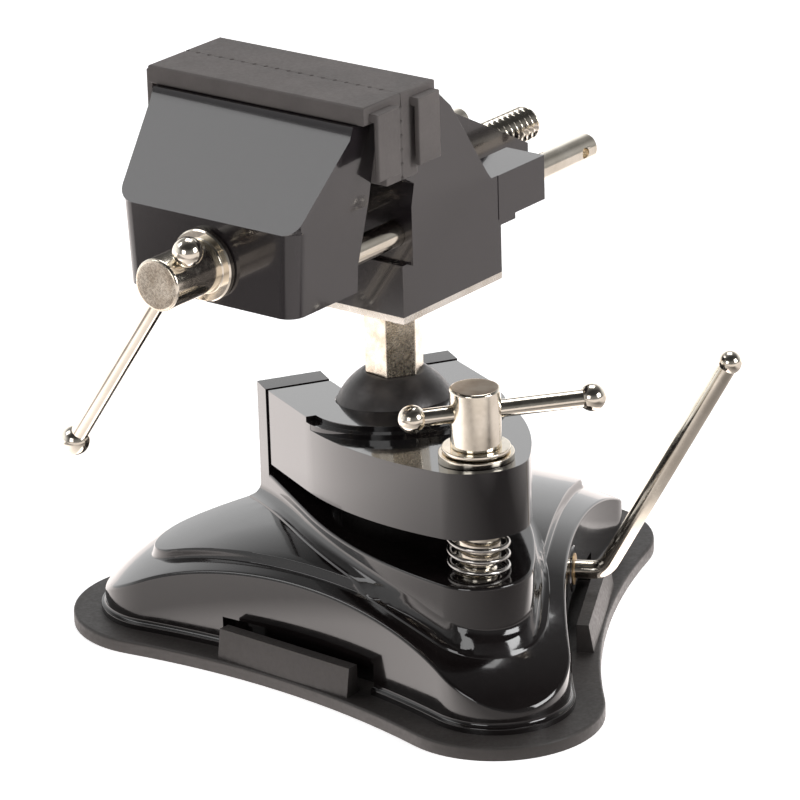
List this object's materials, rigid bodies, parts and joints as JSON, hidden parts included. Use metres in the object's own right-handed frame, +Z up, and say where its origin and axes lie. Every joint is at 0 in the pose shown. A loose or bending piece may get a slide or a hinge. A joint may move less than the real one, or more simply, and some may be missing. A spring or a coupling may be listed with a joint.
{
  "type": "suction base vise",
  "caption": "Small bench vise with soft jaw covers on a lockable ball joint, over a lever-worked suction base.",
  "frame": {"origin": "middle of the suction pad's underside, on the table", "axes": "+Z up, -Y towards the front lobe where the ball's clamp screw stands, +X to its right"},
  "size_m": [0.1958, 0.1641, 0.1777],
  "materials": {
    "black_paint": "gloss black paint on a die casting",
    "plate_paint": "gloss black paint on a die casting",
    "pad_rubber": "matt dark rubber",
    "cover_rubber": "matt charcoal rubber",
    "nickel": "bright nickel plate",
    "zinc_steel": "zinc-plated steel",
    "ball_coat": "satin dark coating on steel",
    "bronze": "sintered bronze",
    "spring_steel": "spring wire",
    "seat_resin": "black acetal"
  },
  "bodies": {
    "base": {"suction_pad": "pad_rubber", "base_casing": "black_paint", "shaft_bush": "bronze", "inner_bush": "bronze", "hinge_pin": "zinc_steel", "screw_insert": "zinc_steel", "ball_seat": "seat_resin", "clamp_spring": "spring_steel", "return_springs": "spring_steel"},
    "lever": {"lever_rod": "nickel", "lever_knob": "nickel", "shaft_clip": "spring_steel", "cam": "zinc_steel", "cam_pin": "zinc_steel"},
    "pad_lifter": {"pad_stud": "zinc_steel", "backing_disc": "zinc_steel"},
    "plate": {"clamp_plate": "plate_paint", "lower_washer": "nickel"},
    "screw_washer": {"upper_washer": "nickel"},
    "clamp_screw": {"clamp_screw": "nickel"},
    "clamp_handle": {"clamp_bar": "nickel", "clamp_bar_ends": "nickel"},
    "ball": {"ball": "ball_coat"},
    "head": {"hex_stem": "nickel", "mount_plate": "zinc_steel", "plate_screws": "zinc_steel", "fixed_jaw": "black_paint", "lead_nut": "bronze", "fixed_cover": "cover_rubber"},
    "moving_jaw": {"moving_jaw": "black_paint", "left_guide_rod": "nickel", "right_guide_rod": "nickel", "rod_screws": "zinc_steel", "moving_cover": "cover_rubber"},
    "lead_screw": {"lead_screw": "nickel", "screw_clip": "spring_steel"},
    "tommy_bar": {"tommy_bar": "nickel", "tommy_bar_ends": "nickel"}
  },
  "joints": [
    {"name": "lever_turn", "type": "hinge", "parent": "base", "child": "lever", "pos_m": [0, 0, 0.0195], "axis": [0.866, -0.5, 0], "range_deg": [0, 95]},
    {"name": "pad_lift", "type": "slide", "parent": "base", "child": "pad_lifter", "axis": [0, 0, 1], "range_m": [0, 0.00295], "deforming": ["return_springs"]},
    {"name": "plate_tilt", "type": "hinge", "parent": "base", "child": "plate", "pos_m": [0, 0.0377, 0.0474], "axis": [-1, 0, 0], "range_deg": [0, 1.8]},
    {"name": "screw_lift", "type": "slide", "parent": "base", "child": "screw_washer", "axis": [0, 0, 1], "range_m": [0, 0.00344], "deforming": ["clamp_spring"]},
    {"name": "screw_turn", "type": "hinge", "parent": "screw_washer", "child": "clamp_screw", "pos_m": [0, -0.0575, 0.085], "axis": [0, 0, 1], "range_deg": [0, 708.2]},
    {"name": "clamp_bar_slide", "type": "slide", "parent": "clamp_screw", "child": "clamp_handle", "axis": [0.9945, -0.1045, 0], "range_m": [-0.0233, 0.0078]},
    {"name": "ball_tilt", "type": "hinge", "parent": "base", "child": "ball", "pos_m": [0, 0.006, 0.0617], "axis": [-1, 0, 0], "range_deg": [-20, 60]},
    {"name": "head_spin", "type": "hinge", "parent": "ball", "child": "head", "pos_m": [0, 0.006, 0.0617], "axis": [0, 0, 1], "continuous": true},
    {"name": "jaw_slide", "type": "slide", "parent": "head", "child": "moving_jaw", "axis": [-0.849, -0.5284, 0], "range_m": [0, 0.05]},
    {"name": "lead_turn", "type": "hinge", "parent": "moving_jaw", "child": "lead_screw", "pos_m": [-0.06953, -0.03728, 0.1337], "axis": [0.849, 0.5284, 0], "range_deg": [-7272, 0]},
    {"name": "tommy_slide", "type": "slide", "parent": "lead_screw", "child": "tommy_bar", "axis": [0.3016, -0.4845, 0.8211], "range_m": [0, 0.0555]}
  ],
  "couplings": [
    {"joint": "lever_turn", "follows": "pad_lift", "rad_per_m": 562.11},
    {"joint": "screw_lift", "follows": "plate_tilt", "m_per_rad": 0.1085},
    {"joint": "screw_turn", "follows": "plate_tilt", "ratio": 389.56},
    {"joint": "lead_turn", "follows": "jaw_slide", "rad_per_m": -2513.3}
  ]
}
